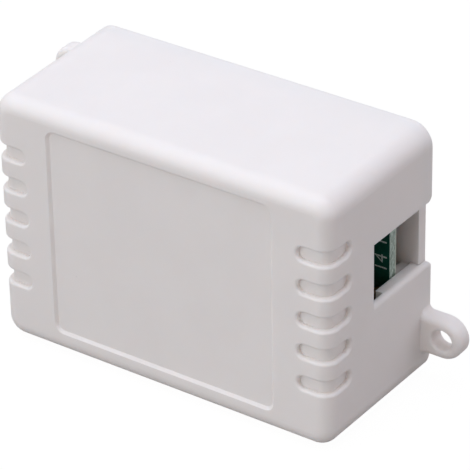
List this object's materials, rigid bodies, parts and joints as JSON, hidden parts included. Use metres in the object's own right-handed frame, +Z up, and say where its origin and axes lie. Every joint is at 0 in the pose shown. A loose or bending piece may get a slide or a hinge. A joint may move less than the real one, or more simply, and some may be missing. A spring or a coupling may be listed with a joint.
{
  "type": "time delay relay module",
  "caption": "Small white plastic box with two screw ears, a framed front, vent grooves round its front corners, wire notches in both ends and a timer relay board inside.",
  "frame": {"origin": "middle of the underside, where the box would stand on its long lower side", "axes": "+X along the box to the end whose ear is low, +Y towards the rear lid and the wall it is screwed to, +Z up"},
  "size_m": [0.0688, 0.0248, 0.0394],
  "materials": {
    "white_plastic": "fine satin",
    "board_laminate": "gloss",
    "solder": "bright",
    "relay_shell": "satin",
    "soft_iron": "plated",
    "bobbin_plastic": "matt",
    "coil_copper": "enamelled wire",
    "contact_metal": "bright",
    "tinned_metal": "tinned",
    "terminal_plastic": "satin",
    "screw_steel": "zinc plated",
    "can_aluminium": "bright",
    "seal_rubber": "matt",
    "black_epoxy": "matt",
    "trimmer_blue": "satin",
    "rotor_white": "satin",
    "button_steel": "bright",
    "plunger_plastic": "matt",
    "lamp_red": "clear tinted",
    "resistor_ceramic": "lacquered",
    "chip_ceramic": "matt"
  },
  "bodies": {
    "box": {"housing": "white_plastic"},
    "lid": {"rear_lid": "white_plastic"},
    "board": {"circuit_board": "board_laminate", "solder_joints": "solder", "relay_case": "relay_shell", "relay_base": "relay_shell", "relay_yoke": "soft_iron", "relay_core": "soft_iron", "relay_bobbin": "bobbin_plastic", "relay_coil": "coil_copper", "relay_coil_pins": "tinned_metal", "relay_closed_contact": "contact_metal", "relay_open_contact": "contact_metal", "output_terminal_body": "terminal_plastic", "output_terminal_contacts": "tinned_metal", "input_terminal_body": "terminal_plastic", "input_terminal_contacts": "tinned_metal", "capacitor_can": "can_aluminium", "capacitor_core": "seal_rubber", "capacitor_seal": "seal_rubber", "capacitor_leads": "tinned_metal", "timer_chip": "black_epoxy", "timer_chip_pins": "tinned_metal", "trimmer_body": "trimmer_blue", "trimmer_pins": "tinned_metal", "button_base": "black_epoxy", "button_cover": "button_steel", "button_dome": "tinned_metal", "button_pins": "tinned_metal", "indicator_lamp": "lamp_red", "indicator_lamp_leads": "tinned_metal", "transistor": "black_epoxy", "transistor_leads": "tinned_metal", "regulator": "black_epoxy", "regulator_leads": "tinned_metal", "resistors": "resistor_ceramic", "resistor_leads": "tinned_metal", "coil_diode": "black_epoxy", "coil_diode_leads": "tinned_metal", "chip_capacitor": "chip_ceramic", "chip_capacitor_caps": "tinned_metal"},
    "armature": {"relay_armature": "soft_iron", "relay_contact_spring": "contact_metal"},
    "trimmer_rotor": {"trimmer_rotor": "rotor_white"},
    "button": {"button_plunger": "plunger_plastic"},
    "output_screw_1": {"output_screw_1": "screw_steel"},
    "output_cage_1": {"output_cage_1": "screw_steel"},
    "output_screw_2": {"output_screw_2": "screw_steel"},
    "output_cage_2": {"output_cage_2": "screw_steel"},
    "input_screw_1": {"input_screw_1": "screw_steel"},
    "input_cage_1": {"input_cage_1": "screw_steel"},
    "input_screw_2": {"input_screw_2": "screw_steel"},
    "input_cage_2": {"input_cage_2": "screw_steel"}
  },
  "joints": [
    {"name": "lid_slide", "type": "slide", "parent": "box", "child": "lid", "axis": [0, 1, 0], "range_m": [0, 0.06]},
    {"name": "board_slide", "type": "slide", "parent": "box", "child": "board", "axis": [0, 1, 0], "range_m": [0, 0.03]},
    {"name": "armature_hinge", "type": "hinge", "parent": "board", "child": "armature", "pos_m": [0.0049, -0.00665, 0.01685], "axis": [-1, 0, 0], "range_deg": [0, 1.5], "stiffness_Nm_per_rad": 0.01, "springref_deg": -2.86},
    {"name": "trimmer_turn", "type": "hinge", "parent": "board", "child": "trimmer_rotor", "pos_m": [0.0046, 0.0025, 0.0085], "axis": [0, 1, 0], "range_deg": [-135, 135]},
    {"name": "button_press", "type": "slide", "parent": "board", "child": "button", "axis": [0, 1, 0], "range_m": [0, 0.00025], "stiffness_N_per_m": 400, "springref_m": -0.0005},
    {"name": "output_screw_1_turn", "type": "hinge", "parent": "board", "child": "output_screw_1", "pos_m": [0.0197, 0, 0.02056], "axis": [0, 1, 0], "range_deg": [0, 1440]},
    {"name": "output_cage_1_slide", "type": "slide", "parent": "board", "child": "output_cage_1", "axis": [0, -1, 0], "range_m": [0, 0.002]},
    {"name": "output_screw_2_turn", "type": "hinge", "parent": "board", "child": "output_screw_2", "pos_m": [0.0197, 0, 0.02564], "axis": [0, 1, 0], "range_deg": [0, 1440]},
    {"name": "output_cage_2_slide", "type": "slide", "parent": "board", "child": "output_cage_2", "axis": [0, -1, 0], "range_m": [0, 0.002]},
    {"name": "input_screw_1_turn", "type": "hinge", "parent": "board", "child": "input_screw_1", "pos_m": [-0.0197, 0, 0.01884], "axis": [0, 1, 0], "range_deg": [0, 1440]},
    {"name": "input_cage_1_slide", "type": "slide", "parent": "board", "child": "input_cage_1", "axis": [0, -1, 0], "range_m": [0, 0.002]},
    {"name": "input_screw_2_turn", "type": "hinge", "parent": "board", "child": "input_screw_2", "pos_m": [-0.0197, 0, 0.01376], "axis": [0, 1, 0], "range_deg": [0, 1440]},
    {"name": "input_cage_2_slide", "type": "slide", "parent": "board", "child": "input_cage_2", "axis": [0, -1, 0], "range_m": [0, 0.002]}
  ],
  "couplings": [
    {"joint": "board_slide", "follows": "lid_slide", "ratio": 0.5},
    {"joint": "output_screw_1_turn", "follows": "output_cage_1_slide", "rad_per_m": 12566},
    {"joint": "output_screw_2_turn", "follows": "output_cage_2_slide", "rad_per_m": 12566},
    {"joint": "input_screw_1_turn", "follows": "input_cage_1_slide", "rad_per_m": 12566},
    {"joint": "input_screw_2_turn", "follows": "input_cage_2_slide", "rad_per_m": 12566}
  ]
}
